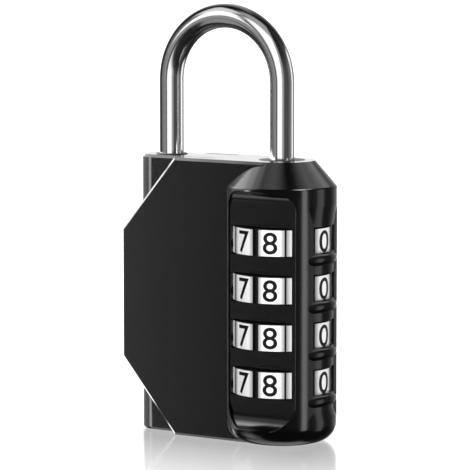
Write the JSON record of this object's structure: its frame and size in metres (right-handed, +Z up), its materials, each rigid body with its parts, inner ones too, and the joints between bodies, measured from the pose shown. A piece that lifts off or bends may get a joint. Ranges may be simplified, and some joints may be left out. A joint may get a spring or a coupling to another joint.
{
  "type": "combination padlock",
  "caption": "Black combination padlock with a chrome shackle, number dials seen through front, rear and side windows, and its inner works.",
  "frame": {"origin": "on the flat underside, at the centre of the overall width and depth", "axes": "+Z up along the shackle legs, +X towards the dial column, -Y is the front face"},
  "size_m": [0.0406, 0.0198, 0.0788],
  "materials": {
    "case_black": "satin black coating on cast zinc",
    "shackle_chrome": "bright chrome plate on hardened steel",
    "dial_metal": "fine turned silver with black numbers",
    "bushing_black": "moulded black acetal",
    "brass": "machined",
    "steel": "ground",
    "spring_steel": "drawn wire and strip"
  },
  "bodies": {
    "case": {"front_case": "case_black", "rear_cover": "case_black", "core_block": "case_black", "case_pins": "steel", "toe_bushing": "bushing_black", "heel_bushing": "bushing_black", "bottom_plug": "case_black", "reset_spring": "spring_steel", "spring_washer": "steel", "detent_leaf_1": "spring_steel", "detent_leaf_2": "spring_steel", "detent_leaf_3": "spring_steel", "detent_leaf_4": "spring_steel"},
    "shackle_assembly": {"shackle": "shackle_chrome", "shackle_pins": "steel", "heel_clip": "spring_steel"},
    "dial_1_assembly": {"dial_1": "dial_metal", "clutch_sleeve_1": "brass"},
    "dial_2_assembly": {"dial_2": "dial_metal", "clutch_sleeve_2": "brass"},
    "dial_3_assembly": {"dial_3": "dial_metal", "clutch_sleeve_3": "brass"},
    "dial_4_assembly": {"dial_4": "dial_metal", "clutch_sleeve_4": "brass"}
  },
  "joints": [
    {"name": "shackle_lift", "type": "slide", "parent": "case", "child": "shackle_assembly", "axis": [0, 0, 1], "range_m": [0, 0.00852]},
    {"name": "dial_1_turn", "type": "hinge", "parent": "case", "child": "dial_1_assembly", "pos_m": [0.01035, 0, 0.03684], "axis": [0, 0, 1], "continuous": true, "deforming": ["detent_leaf_1"]},
    {"name": "dial_2_turn", "type": "hinge", "parent": "case", "child": "dial_2_assembly", "pos_m": [0.01035, 0, 0.02832], "axis": [0, 0, 1], "continuous": true, "deforming": ["detent_leaf_2"]},
    {"name": "dial_3_turn", "type": "hinge", "parent": "case", "child": "dial_3_assembly", "pos_m": [0.01035, 0, 0.0198], "axis": [0, 0, 1], "continuous": true, "deforming": ["detent_leaf_3"]},
    {"name": "dial_4_turn", "type": "hinge", "parent": "case", "child": "dial_4_assembly", "pos_m": [0.01035, 0, 0.01128], "axis": [0, 0, 1], "continuous": true, "deforming": ["detent_leaf_4"]}
  ]
}
